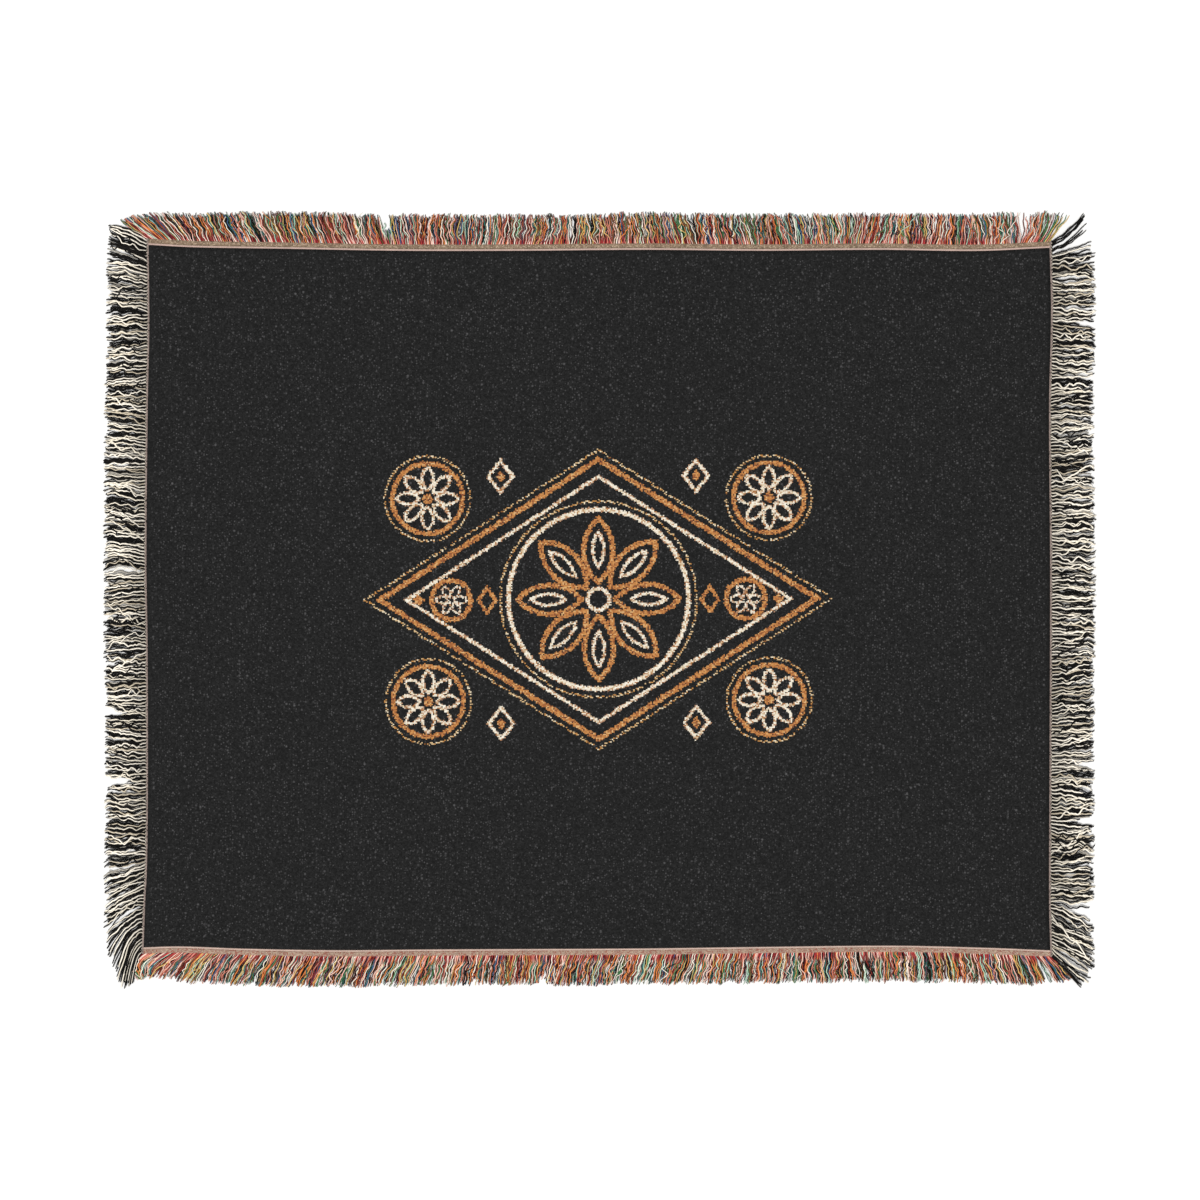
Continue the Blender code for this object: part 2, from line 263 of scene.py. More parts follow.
def wander(side, share):
    return smooth_value(EDGE_WANDER[side], share, "outwards_mm") / 1000


def left_x(v):
    return -PANEL_WIDTH / 2 - wander("left", v)


def right_x(v):
    return PANEL_WIDTH / 2 + wander("right", v)


def front_y(u):
    return -PANEL_DEPTH / 2 - wander("front", u)


def back_y(u):
    return PANEL_DEPTH / 2 + wander("back", u)


def on_panel(u, v):
    """A point of the panel, from its share across and its share from front to back."""
    return mix(left_x(v), right_x(v), u), mix(front_y(u), back_y(u), v)


def on_side(side, share, out):
    """A point beside the panel, from its share along that side and its distance out from the panel's edge.
    The left and right sides also pass the ends of the front and back headings."""
    if side == "back":
        return mix(left_x(1), right_x(1), share), back_y(share) + out
    if side == "front":
        return mix(left_x(0), right_x(0), share), front_y(share) - out
    corner = 0 if side == "left" else 1
    front, back = front_y(corner), back_y(corner)
    y = mix(front - HEADING_WIDTH, back + HEADING_WIDTH, share)
    v = min(max((y - front) / (back - front), 0), 1)
    if side == "left":
        return left_x(v) - out, y
    return right_x(v) + out, y


def edge_distance(u, v):
    return min(min(u, 1 - u) * PANEL_WIDTH, min(v, 1 - v) * PANEL_DEPTH)


def lift(x, y, u, v):
    """How far the cloth stands off the floor: the solid's swells and a faint ripple, less at the edges."""
    height = 0.0
    for swell in SWELLS:
        c, s = math.cos(math.radians(swell.turn_deg)), math.sin(math.radians(swell.turn_deg))
        along = ((x - swell.x) * c + (y - swell.y) * s) / swell.half_length
        across = ((y - swell.y) * c - (x - swell.x) * s) / swell.half_width
        inside = max(0.0, 1 - along * along - across * across)
        height += swell.height * inside * inside
    ripple = (noise.noise(Vector((x, y, 0)) / RIPPLE_LENGTH) + 1) / 2
    height += RIPPLE_HEIGHT * ripple
    fade = (edge_distance(u, v) - SWELL_FADE_START) / (SWELL_FADE_END - SWELL_FADE_START)
    return height * smooth_step(fade)


def new_piece(name, mesh, material):
    """A piece at the origin, with one finish, that rides on the blanket's one body."""
    piece = bpy.data.objects.new(name, mesh)
    bpy.context.scene.collection.objects.link(piece)
    mesh.materials.clear()
    mesh.materials.append(material)
    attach(piece, "root")
    return piece


def add_face(builder, cloth_map, ring):
    """A face over a ring of corners, each with its place on the map."""
    face = builder.faces.new([corner for corner, _, _ in ring])
    for loop, (_, across, deep) in zip(face.loops, ring):
        loop[cloth_map].uv = across, deep


def panel_cloth(material):
    """The woven panel: two faces a cloth's thickness apart and a softly rounded rim. Its map is in metres
    from the middle of the cloth, along its threads."""
    builder = bmesh.new()
    cloth_map = builder.loops.layers.uv.new("threads")
    to_edge = builder.verts.layers.float.new("edge_distance")
    sheets = []
    for base in (0.0, CLOTH_THICKNESS):
        rows = []
        for j in range(PANEL_CELLS_DEEP + 1):
            row = []
            for i in range(PANEL_CELLS_ACROSS + 1):
                u, v = i / PANEL_CELLS_ACROSS, j / PANEL_CELLS_DEEP
                x, y = on_panel(u, v)
                on_rim = base > 0 and (i in (0, PANEL_CELLS_ACROSS) or j in (0, PANEL_CELLS_DEEP))
                corner = builder.verts.new((x, y, base + lift(x, y, u, v) - (RIM_DROP if on_rim else 0)))
                corner[to_edge] = edge_distance(u, v)
                row.append((corner, (u - 0.5) * PANEL_WIDTH, (v - 0.5) * PANEL_DEPTH))
            rows.append(row)
        for j in range(PANEL_CELLS_DEEP):
            for i in range(PANEL_CELLS_ACROSS):
                ring = [rows[j][i], rows[j][i + 1], rows[j + 1][i + 1], rows[j + 1][i]]
                if base == 0:
                    ring.reverse()
                add_face(builder, cloth_map, ring)
        sheets.append(rows)
    rims = []
    for rows in sheets:
        right_side, left_side = [row[-1] for row in rows[1:-1]], [row[0] for row in reversed(rows[1:-1])]
        rims.append(rows[0] + right_side + rows[-1][::-1] + left_side)
    under, over = rims
    for k in range(len(under)):
        ring = [under[k], under[(k + 1) % len(under)], over[(k + 1) % len(under)], over[k]]
        add_face(builder, cloth_map, ring)
    mesh = bpy.data.meshes.new("panel_cloth")
    builder.to_mesh(mesh)
    builder.free()
    mesh.shade_smooth()
    piece = new_piece("panel_cloth", mesh, material)
    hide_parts("panel")
    return piece


def woven_strip(name, side, width, material):
    """A heading or selvedge along one side, with a soft cross-section. Its map is in metres: along the side,
    and out from the panel's edge."""
    start, end = Vector(on_side(side, 0, 0)), Vector(on_side(side, 1, 0))
    length = (end - start).length
    cells = round(length / STRIP_CELL)
    builder = bmesh.new()
    strip_map = builder.loops.layers.uv.new("threads")
    rings = []
    for i in range(cells + 1):
        ring = []
        for point in STRIP_SECTION:
            x, y = on_side(side, i / cells, point.share * width)
            ring.append((builder.verts.new((x, y, point.height)), i / cells * length, point.share * width))
        rings.append(ring)
    for near, far in zip(rings, rings[1:]):
        for k in range(len(near)):
            following = (k + 1) % len(near)
            add_face(builder, strip_map, [near[k], near[following], far[following], far[k]])
    for ring in (rings[0], rings[-1]):
        builder.faces.new([corner for corner, _, _ in ring])
    bmesh.ops.recalc_face_normals(builder, faces=builder.faces)
    mesh = bpy.data.meshes.new(name)
    builder.to_mesh(mesh)
    builder.free()
    mesh.shade_smooth()
    mesh.set_sharp_from_angle(angle=math.radians(50))
    piece = new_piece(name, mesh, material)
    return piece


# Node trees

class Wire:
    """A socket of a node tree that takes part in arithmetic. Each step of it adds one math node."""

    def __init__(self, tree, socket):
        self.tree = tree
        self.socket = socket

    def __add__(self, other):
        return calculate("ADD", self, other)

    def __sub__(self, other):
        return calculate("SUBTRACT", self, other)

    def __mul__(self, other):
        return calculate("MULTIPLY", self, other)

    def __truediv__(self, other):
        return calculate("DIVIDE", self, other)

    def __radd__(self, other):
        return calculate("ADD", other, self)

    def __rsub__(self, other):
        return calculate("SUBTRACT", other, self)

    def __rmul__(self, other):
        return calculate("MULTIPLY", other, self)

    def __abs__(self):
        return calculate("ABSOLUTE", self)


def feed(socket, value):
    """Links a wire to a socket, or sets a plain value on it."""
    if isinstance(value, Wire):
        value.tree.links.new(value.socket, socket)
    else:
        socket.default_value = value


def add_node(tree, kind, inputs=None, **settings):
    """A new node with these settings, its named inputs linked or set."""
    node = tree.nodes.new(kind)
    for name, value in settings.items():
        setattr(node, name, value)
    for name, value in (inputs or {}).items():
        feed(next(s for s in node.inputs if s.name == name and s.enabled), value)
    return node


def output(node, name):
    return Wire(node.id_data, next(s for s in node.outputs if s.name == name and s.enabled))


def made(tree, kind, result, inputs=None, **settings):
    """The named output of a new node."""
    return output(add_node(tree, kind, inputs, **settings), result)


def calculate(operation, *operands):
    """One math node on numbers and wires."""
    tree = next(o.tree for o in operands if isinstance(o, Wire))
    node = add_node(tree, "ShaderNodeMath", operation=operation)
    for socket, operand in zip(node.inputs, operands):
        feed(socket, operand)
    return Wire(tree, node.outputs[0])


def nearest(*wires):
    """The least of several wires."""
    least = wires[0]
    for wire in wires[1:]:
        least = calculate("MINIMUM", least, wire)
    return least


def split(vector):
    node = add_node(vector.tree, "ShaderNodeSeparateXYZ", {"Vector": vector})
    return [output(node, axis) for axis in "XYZ"]


def joined(tree, x, y, z=0.0):
    return made(tree, "ShaderNodeCombineXYZ", "Vector", {"X": x, "Y": y, "Z": z})


def vector_step(operation, *operands):
    """One vector math node on wires and plain vectors."""
    tree = next(o.tree for o in operands if isinstance(o, Wire))
    node = add_node(tree, "ShaderNodeVectorMath", operation=operation)
    for socket, operand in zip([s for s in node.inputs if s.enabled], operands):
        feed(socket, operand)
    return Wire(tree, next(s for s in node.outputs if s.enabled))


def ramp(value, low, high, start=0.0, end=1.0, interpolation="SMOOTHSTEP"):
    """A value eased from start to end as it goes from low to high."""
    sockets = {"Value": value, "From Min": low, "From Max": high, "To Min": start, "To Max": end}
    return made(value.tree, "ShaderNodeMapRange", "Result", sockets, interpolation_type=interpolation)


def noise_at(point, scale, detail=2.0):
    return made(point.tree, "ShaderNodeTexNoise", "Fac", {"Vector": point, "Scale": scale, "Detail": detail})


def blend_colours(factor, below, above):
    sockets = {"Factor": factor, "A": below, "B": above}
    return made(factor.tree, "ShaderNodeMix", "Result", sockets, data_type="RGBA")


def palette(pick, *stops):
    """A colour for each share of pick. Each stop is (where it starts, web colour code)."""
    node = add_node(pick.tree, "ShaderNodeValToRGB", {"Fac": pick})
    colours = node.color_ramp
    colours.interpolation = "CONSTANT"
    for k, (start, code) in enumerate(stops):
        element = colours.elements[k] if k < 2 else colours.elements.new(start)
        element.position = start
        element.color = srgb(code)
    return output(node, "Color")


def new_group(name, kind, inputs, outputs):
    """A node group with named sockets: the tree, its inputs as wires by name, and its output node."""
    tree = bpy.data.node_groups.new(name, kind)
    for socket_name, (socket_type, value) in inputs.items():
        socket = tree.interface.new_socket(socket_name, in_out="INPUT", socket_type=socket_type)
        if value is not None:
            socket.default_value = value
    for socket_name, socket_type in outputs.items():
        tree.interface.new_socket(socket_name, in_out="OUTPUT", socket_type=socket_type)
    source = tree.nodes.new("NodeGroupInput")
    return tree, {n: output(source, n) for n in inputs}, tree.nodes.new("NodeGroupOutput")


def close_group(sink, results):
    for name, wire in results.items():
        feed(sink.inputs[name], wire)
    return sink.id_data


def use(tree, group, inputs):
    """A group placed in a tree. Gives its outputs as wires by name."""
    node = add_node(tree, "ShaderNodeGroup", node_tree=group)
    for name, value in inputs.items():
        feed(node.inputs[name], value)
    return {socket.name: Wire(tree, socket) for socket in node.outputs}


NUMBER, WHOLE, POINT = "NodeSocketFloat", "NodeSocketInt", "NodeSocketVector"


def thread_grid():
    """A plain weave of warp and weft threads: its relief, the middle of each crossing, and its chance."""
    inputs = {"Point": (POINT, None), "Warp Pitch": (NUMBER, 0.001), "Weft Pitch": (NUMBER, 0.001)}
    outputs = {"Height": NUMBER, "Crossing": POINT, "Chance": NUMBER}
    tree, given, sink = new_group("thread_grid", "ShaderNodeTree", inputs, outputs)
    x, y, _ = split(given["Point"])
    across, deep = x / given["Warp Pitch"], y / given["Weft Pitch"]
    column, row = calculate("FLOOR", across), calculate("FLOOR", deep)
    from_column = (across - column - 0.5) * math.pi
    from_row = (deep - row - 0.5) * math.pi
    warp_round, weft_round = calculate("COSINE", from_column), calculate("COSINE", from_row)
    over = calculate("FLOORED_MODULO", column + row, 2.0)
    warp_height = warp_round * (0.55 + 0.45 * weft_round)
    weft_height = weft_round * (0.55 + 0.45 * warp_round)
    height = warp_height + (weft_height - warp_height) * over
    crossing = joined(tree, (column + 0.5) * given["Warp Pitch"], (row + 0.5) * given["Weft Pitch"])
    chance = made(tree, "ShaderNodeTexWhiteNoise", "Value", {"Vector": joined(tree, column, row)})
    return close_group(sink, {"Height": height, "Crossing": crossing, "Chance": chance})


def cotton_mottle():
    """The unevenness of dyed cotton: a brightness around 1 that varies by patches and by fibres."""
    inputs = {"Point": (POINT, None), "Patch": (NUMBER, 0.04), "Depth": (NUMBER, 0.2)}
    _, given, sink = new_group("cotton_mottle", "ShaderNodeTree", inputs, {"Brightness": NUMBER})
    scale = calculate("DIVIDE", 1.0, given["Patch"])
    patches = noise_at(given["Point"], scale, 3.0)
    fibres = noise_at(given["Point"], scale * 14.0, 2.0)
    bright = 1.0 + given["Depth"] * ((patches - 0.5) + (fibres - 0.5)) * 2.0
    return close_group(sink, {"Brightness": bright})


def spun_yarn():
    """The twist of a two-ply yarn, from the cosine and sine of the place around it and the run along it."""
    inputs = {"Cosine": (NUMBER, 1.0), "Sine": (NUMBER, 0.0), "Run": (NUMBER, 0.0),
              "Turn Length": (NUMBER, 0.006)}
    _, given, sink = new_group("spun_yarn", "ShaderNodeTree", inputs, {"Height": NUMBER})
    phase = given["Run"] / given["Turn Length"] * math.tau
    twice_cosine = given["Cosine"] * given["Cosine"] * 2.0 - 1.0
    twice_sine = given["Cosine"] * given["Sine"] * 2.0
    ridge = twice_cosine * calculate("COSINE", phase) + twice_sine * calculate("SINE", phase)
    return close_group(sink, {"Height": calculate("SQRT", ridge * 0.5 + 0.5)})


def petal_ring():
    """How far a point lies outside the nearest of a ring of pointed petals. It is below 0 inside a petal."""
    inputs = {"Point": (POINT, None), "Petals": (NUMBER, 8.0), "Root": (NUMBER, 0.02), "Tip": (NUMBER, 0.1),
              "Half Width": (NUMBER, 0.02)}
    _, given, sink = new_group("petal_ring", "ShaderNodeTree", inputs, {"Distance": NUMBER})
    x, y, _ = split(given["Point"])
    sector = calculate("DIVIDE", math.tau, given["Petals"])
    angle = calculate("ARCTAN2", y, x) + sector * 0.5
    folded = calculate("FLOORED_MODULO", angle, sector) - sector * 0.5
    radius = calculate("SQRT", x * x + y * y)
    along = radius * calculate("COSINE", folded) - (given["Root"] + given["Tip"]) * 0.5
    across = abs(radius * calculate("SINE", folded))
    half_length = (given["Tip"] - given["Root"]) * 0.5
    width = given["Half Width"]
    bow = (half_length * half_length + width * width) / (width * 2.0)
    across = across + bow - width
    return close_group(sink, {"Distance": calculate("SQRT", along * along + across * across) - bow})


def lozenge():
    """How far a point lies outside a lozenge. It is below 0 inside."""
    inputs = {"Point": (POINT, None), "Half Width": (NUMBER, 0.3), "Half Height": (NUMBER, 0.2)}
    _, given, sink = new_group("lozenge", "ShaderNodeTree", inputs, {"Distance": NUMBER})
    x, y, _ = split(given["Point"])
    width, height = given["Half Width"], given["Half Height"]
    side = calculate("SQRT", width * width + height * height)
    return close_group(sink, {"Distance": (abs(x) * height + abs(y) * width - width * height) / side})


def medallion(petals, diamond):
    """A traditional medallion of rosettes, rings and lozenges. Gives how far a point lies outside its
    nearest ochre line, cream line and contour line, each below 0 on the line."""
    outputs = {"Ochre": NUMBER, "Cream": NUMBER, "Contour": NUMBER}
    tree, given, sink = new_group("medallion", "ShaderNodeTree", {"Point": (POINT, None)}, outputs)
    x, y, _ = split(given["Point"])
    mirrored_x, mirrored_y = abs(x), abs(y)

    def ring(shape):
        px, py = mirrored_x - shape.x, mirrored_y - shape.y
        return calculate("SQRT", px * px + py * py) - shape.radius

    def flower(shape):
        sockets = {"Point": joined(tree, mirrored_x - shape.x, mirrored_y - shape.y), "Petals": shape.petals,
                   "Root": shape.root, "Tip": shape.tip, "Half Width": shape.half_width}
        return use(tree, petals, sockets)["Distance"]

    def lozenge_at(shape):
        sockets = {"Point": joined(tree, mirrored_x - shape.x, mirrored_y - shape.y),
                   "Half Width": shape.half_width, "Half Height": shape.half_height}
        return use(tree, diamond, sockets)["Distance"]

    def line(distance, width):
        return abs(distance) - width / 2

    frame_line, centre_ring, corner_ring = lozenge_at(FRAME), ring(CENTRE_RING), ring(CORNER_RING)
    ochre = nearest(
        line(frame_line, STROKE),
        line(flower(CENTRE_FLOWER), STROKE * 0.9),
        line(ring(SIDE_RING), FINE_STROKE * 1.3),
        line(corner_ring, STROKE * 0.85),
        line(lozenge_at(INNER_LOZENGE), FINE_STROKE),
        lozenge_at(FRAME_TIP),
        lozenge_at(OUTER_HEART),
        ring(CORNER_HEART),
    )
    cream = nearest(
        line(frame_line + FRAME_INSET, FINE_STROKE),
        line(centre_ring, STROKE * 0.9),
        line(ring(CENTRE_HEART), STROKE * 0.8),
        line(flower(INNER_FLOWER), FINE_STROKE * 0.9),
        line(flower(SIDE_FLOWER), FINE_STROKE * 0.6),
        line(flower(CORNER_FLOWER), FINE_STROKE * 0.9),
        line(lozenge_at(OUTER_LOZENGE), FINE_STROKE),
    )
    contour = nearest(
        line(frame_line - CONTOUR_GAP, CONTOUR_STROKE),
        line(centre_ring - CONTOUR_GAP, CONTOUR_STROKE),
        line(corner_ring - CONTOUR_GAP * 0.9, CONTOUR_STROKE),
    )
    return close_group(sink, {"Ochre": ochre, "Cream": cream, "Contour": contour})


def new_finish(name, roughness):
    """A material with a bare Principled shader: the material's tree and the shader."""
    material = bpy.data.materials.new(name)
    material.use_nodes = True
    shader = material.node_tree.nodes["Principled BSDF"]
    shader.inputs["Roughness"].default_value = roughness
    shader.inputs["Specular IOR Level"].default_value = 0.2
    return material, material.node_tree, shader


def add_relief(tree, shader, height, distance, strength):
    sockets = {"Strength": strength, "Distance": distance, "Height": height}
    feed(shader.inputs["Normal"], made(tree, "ShaderNodeBump", "Normal", sockets))


def attribute(tree, name):
    return made(tree, "ShaderNodeAttribute", "Fac", attribute_name=name)


def cloth_point(tree):
    """The threads map as a point: metres along and across the cloth."""
    return made(tree, "ShaderNodeUVMap", "UV", uv_map="threads")


def scaled_colour(colour, brightness):
    """A colour times a brightness."""
    return vector_step("SCALE", colour, brightness)


def flecks(point, spacing, least, most):
    """How strongly the pale binding threads peep through the black: fine scattered specks, some crowded."""
    cells = add_node(point.tree, "ShaderNodeTexVoronoi", {"Vector": point, "Scale": 1 / spacing})
    near = ramp(output(cells, "Distance"), 0.12, 0.42, 1.0, 0.0)
    chance, _, _ = split(output(cells, "Color"))
    crowd = noise_at(point, 42.0, 3.0)
    return near * ramp(chance + (crowd - 0.5) * 0.5, least, most)


def jacquard_finish(weave, mottle, figure):
    """The panel's black ground with its fine grey flecks, and the medallion in ochre and cream, with painted
    shade in the grooves between its threads.
    """
    material, tree, shader = new_finish("black_jacquard_cotton", 0.95)
    point = cloth_point(tree)
    threads = use(tree, weave, {"Point": point, "Warp Pitch": WARP_PITCH, "Weft Pitch": WEFT_PITCH})
    floats = use(tree, weave, {"Point": point, "Warp Pitch": FLOAT_WIDTH, "Weft Pitch": FLOAT_DEPTH})
    uneven = use(tree, mottle, {"Point": point, "Patch": 0.05, "Depth": 0.12})["Brightness"]
    chance = floats["Chance"]
    other_chance = calculate("FRACT", chance * 41.0)
    blacks = palette(chance, (0, "151515"), (0.2, "1a1a1a"), (0.5, "1f1f1f"), (0.8, "252525"))
    inner = ramp(attribute(tree, "edge_distance"), 0.003, 0.008)
    faint, bright = flecks(point, FLECK_SPACING, 0.25, 1.05), flecks(point, BRIGHT_FLECK_SPACING, 0.7, 1.2)
    specks = calculate("MAXIMUM", faint * 0.42, bright * 0.58)
    colour = blend_colours(specks * inner, scaled_colour(blacks, uneven), srgb("777677"))

    x, y, _ = split(floats["Crossing"])
    wavering = noise_at(point, 160.0, 1.0) - 0.5
    lines = use(tree, figure, {"Point": joined(tree, x + wavering * 0.002, y - wavering * 0.002)})
    frayed = (other_chance - 0.5) * 0.0022
    ochre_edge, cream_edge = lines["Ochre"] + frayed, lines["Cream"] + frayed
    chain = calculate("FLOORED_MODULO", x / FLOAT_WIDTH + y / FLOAT_DEPTH * 2.0, 5.0)
    linked = calculate("LESS_THAN", chain, 3.0) * calculate("GREATER_THAN", chance, 0.15)
    contour = calculate("LESS_THAN", lines["Contour"] + frayed * 0.4, 0.0) * linked
    sand = palette(other_chance, (0, "d8b98a"), (0.4, "c08a4c"), (0.7, "efe0c2"), (0.88, "8a5a30"))
    colour = blend_colours(contour, colour, sand)
    ochre = palette(other_chance, (0, "c08047"), (0.34, "cf9457"), (0.52, "a5663a"), (0.70, "dcb078"),
                    (0.80, "875034"), (0.92, "54352a"))
    colour = blend_colours(calculate("LESS_THAN", ochre_edge, 0.0), colour, ochre)
    cream = palette(other_chance, (0, "efe5d0"), (0.42, "faf3e3"), (0.60, "d8c3a0"), (0.82, "bb8f63"))
    tinge = ramp(cream_edge, -0.0018, -0.0004) * calculate("GREATER_THAN", chance, 0.35)
    cream = blend_colours(tinge * 0.8, cream, srgb("a5632f"))
    colour = blend_colours(calculate("LESS_THAN", cream_edge, 0.0), colour, cream)
    # Painted shade in the grooves between the threads
    shade = ramp(threads["Height"], -0.1, 0.9, 0.72, 1.08)
    feed(shader.inputs["Base Color"], scaled_colour(colour, shade))
    add_relief(tree, shader, threads["Height"], 0.0005, 0.8)
    return material


def heading_finish(name, weave, mottle, body_code, speck_code, cord_code):
    """A woven heading: a pale cord at the panel's edge, then fine ribs with specks of the warp's colours.
    Painted shade darkens the hollow beside the cord and the grooves between the ribs.
    """
    material, tree, shader = new_finish(name, 0.93)
    point = cloth_point(tree)
    _, out, _ = split(point)
    ribs = use(tree, weave, {"Point": point, "Warp Pitch": 0.0019, "Weft Pitch": 0.0013})
    uneven = use(tree, mottle, {"Point": point, "Patch": 0.02, "Depth": 0.25})["Brightness"]
    cord = ramp(out, 0.0017, 0.0023, 1.0, 0.0)
    # Painted shade in the hollow beside the cord
    groove = ramp(abs(out - 0.0028), 0.0002, 0.0010, 0.70, 1.0)
    seen = ribs["Chance"]
    body = blend_colours(calculate("GREATER_THAN", seen, 0.74) * 0.75, srgb(body_code), srgb(speck_code))
    body = blend_colours(calculate("LESS_THAN", seen, 0.22) * 0.6, body, srgb("c9b49a"))
    colour = blend_colours(cord, body, srgb(cord_code))
    # Painted shade in the grooves between the ribs and in the hollow beside the cord
    shade = ramp(ribs["Height"], 0.0, 0.9, 0.72, 1.1) * groove
    feed(shader.inputs["Base Color"], scaled_colour(scaled_colour(colour, shade), uneven))
    add_relief(tree, shader, ribs["Height"], 0.0006, 0.9)
    return material


def selvedge_finish(weave, mottle):
    """The selvedge: pinkish tan warp ends, then the black and cream weft as it comes out in turn, with
    painted shade in the grooves between its ribs.
    """
    material, tree, shader = new_finish("pinkish_selvedge", 0.93)
    point = cloth_point(tree)
    station, out, _ = split(point)
    ribs = use(tree, weave, {"Point": point, "Warp Pitch": 0.0016, "Weft Pitch": 0.0013})
    uneven = use(tree, mottle, {"Point": point, "Patch": 0.015, "Depth": 0.3})["Brightness"]
    warp_ends = palette(ribs["Chance"], (0, "9a8981"), (0.5, "a8978e"), (0.8, "82716a"), (0.93, "3d3531"))
    turn = calculate("FLOORED_MODULO", station / WEFT_YARN_PITCH, 2.0)
    weft_ends = blend_colours(calculate("LESS_THAN", turn, 1.0), srgb("cdc2b1"), srgb("141110"))
    colour = blend_colours(ramp(out, 0.0021, 0.0027), warp_ends, weft_ends)
    # Painted shade in the grooves between the ribs
    shade = ramp(ribs["Height"], 0.0, 0.9, 0.62, 1.05)
    feed(shader.inputs["Base Color"], scaled_colour(scaled_colour(colour, shade), uneven))
    add_relief(tree, shader, ribs["Height"], 0.0006, 0.9)
    return material


def yarn_finish(name, twist, colour_of, root_shade, tip_shade):
    """Spun cotton yarn, coloured yarn by yarn, with its twist. Painted shade darkens the yarns that lie
    underneath, the sides of each yarn, which its neighbours keep from the light, and the grooves of its
    twist. A painted shade or highlight also runs along each yarn from root to tip, as root_shade and
    tip_shade give it."""
    material, tree, shader = new_finish(name, 0.9)
    run = attribute(tree, "run")
    sockets = {"Cosine": attribute(tree, "around_cos"), "Sine": attribute(tree, "around_sin"), "Run": run}
    ply = use(tree, twist, sockets)["Height"]
    fibres = noise_at(made(tree, "ShaderNodeTexCoord", "Object"), 700.0)
    # Painted shade: yarns that lie underneath are darker
    painted_shade = ramp(attribute(tree, "layer"), 0.15, 0.6, 0.36, 1.0)
    # Painted shade or highlight along each yarn, from root_shade at the root to tip_shade at the tip
    painted_shade = painted_shade * ramp(run, 0.002, 0.040, root_shade, tip_shade)
    # Painted shade: the sides of each yarn, turned away from the sky, are darker than its top
    _, _, facing_up = split(made(tree, "ShaderNodeNewGeometry", "Normal"))
    painted_shade = painted_shade * ramp(facing_up, 0.0, 0.85, 0.34, 1.0)
    # Painted shade in the grooves of the twist
    shade = ramp(ply, 0.0, 0.8, 0.64, 1.06) * (0.85 + 0.3 * fibres) * painted_shade
    feed(shader.inputs["Base Color"], scaled_colour(colour_of(tree), shade))
    add_relief(tree, shader, ply + fibres * 0.3, 0.0006, 0.7)
    return material


def warp_colours(tree):
    """One of the warp's many colours for each yarn, redder at the root."""
    many = palette(
        attribute(tree, "pick"), (0, "141211"), (0.15, "8a2f2a"), (0.22, "2f6f68"), (0.28, "4a7f52"),
        (0.34, "6f5433"), (0.40, "3d6086"), (0.43, "5f4152"), (0.46, "a94f38"), (0.50, "d98873"),
        (0.58, "df8444"), (0.68, "f0c4b2"), (0.78, "f8eedd"), (0.87, "d8b56c"), (0.94, "b4d2ba"),
    )
    tone = attribute(tree, "tone")
    reds = palette(tone, (0, "6f1d22"), (0.17, "ab383a"), (0.33, "d88879"), (0.45, "eec6b8"))
    near_root = ramp(attribute(tree, "run"), 0.004, 0.018, 1.0, 0.0)
    at_root = near_root * calculate("LESS_THAN", tone, 0.55)
    return blend_colours(at_root, many, reds)


def weft_colours(tree):
    """Black or cream for each yarn."""
    return palette(
        attribute(tree, "pick"), (0, "0b0a09"), (0.28, "151210"), (0.5, "fdf4e3"), (0.76, "efe5d1"),
        (0.92, "ccbfa8"),
    )


# Loose yarns

def stored(geometry, name, value, kind="FLOAT"):
    """The geometry with a named attribute on its points."""
    sockets = {"Geometry": geometry, "Name": name, "Value": value}
    settings = {"data_type": kind, "domain": "POINT"}
    return made(geometry.tree, "GeometryNodeStoreNamedAttribute", "Geometry", sockets, **settings)


def named(tree, name, kind="FLOAT"):
    return made(tree, "GeometryNodeInputNamedAttribute", "Attribute", {"Name": name}, data_type=kind)


def yarn_roots(tree, given):
    """A point on the guide for each yarn, with the draws that set the yarn apart. Every second yarn lies
    underneath. Those above may take turns between dark and light colours, with some slips. Those below may
    be mostly dark: partly real dark yarns, partly a painted shade between the yarns above."""
    index = made(tree, "GeometryNodeInputIndex", "Index")

    def chance(stream):
        node = add_node(tree, "FunctionNodeRandomValue", data_type="FLOAT")
        feed(node.inputs["ID"], index)
        feed(node.inputs["Seed"], given["Seed"] + stream)
        return output(node, "Value")

    line = made(tree, "GeometryNodeMeshToCurve", "Curve", {"Mesh": given["Edge"]})
    line = made(tree, "GeometryNodeResampleCurve", "Curve", {"Curve": line, "Count": given["Yarns"]})
    under = calculate("FLOORED_MODULO", index, 2.0)
    turn = calculate("FLOORED_MODULO", calculate("FLOOR", index / 2.0), 2.0)
    free_pick = chance(0)
    # Dark Below: yarns underneath are drawn mostly dark, partly as a painted shade between the yarns above
    free_pick = free_pick * (1.0 - given["Dark Below"] * under)
    in_turn = (turn + free_pick) * 0.5
    regular = calculate("LESS_THAN", chance(1), given["Alternation"]) * (1.0 - under)
    astray = calculate("GREATER_THAN", chance(2), ASTRAY_ABOVE) * (1.0 - under)
    draws = {
        "pick": (free_pick + (in_turn - free_pick) * regular) * (1.0 - named(tree, "dark") * 0.5),
        "layer": (1.0 - under) * (0.5 + turn * 0.06) + chance(3) * 0.38 + astray * 0.3,
        "liveliness": 1.0 + astray * 2.5,
        "tone": chance(4),
        "stray": (chance(5) - 0.5) * (1.6 + astray * 0.8),
        "cut": (chance(6) - 0.5) * 2.0,
        "girth": chance(7),
    }
    line = stored(line, "root", made(tree, "GeometryNodeInputPosition", "Position"), "FLOAT_VECTOR")
    for name, value in draws.items():
        line = stored(line, name, value)
    missing = calculate("LESS_THAN", chance(8), named(tree, "thin"))
    points = made(tree, "GeometryNodeCurveToPoints", "Points", {"Curve": line}, mode="EVALUATED")
    sockets = {"Geometry": points, "Selection": missing}
    return made(tree, "GeometryNodeDeleteGeometry", "Geometry", sockets, domain="POINT")


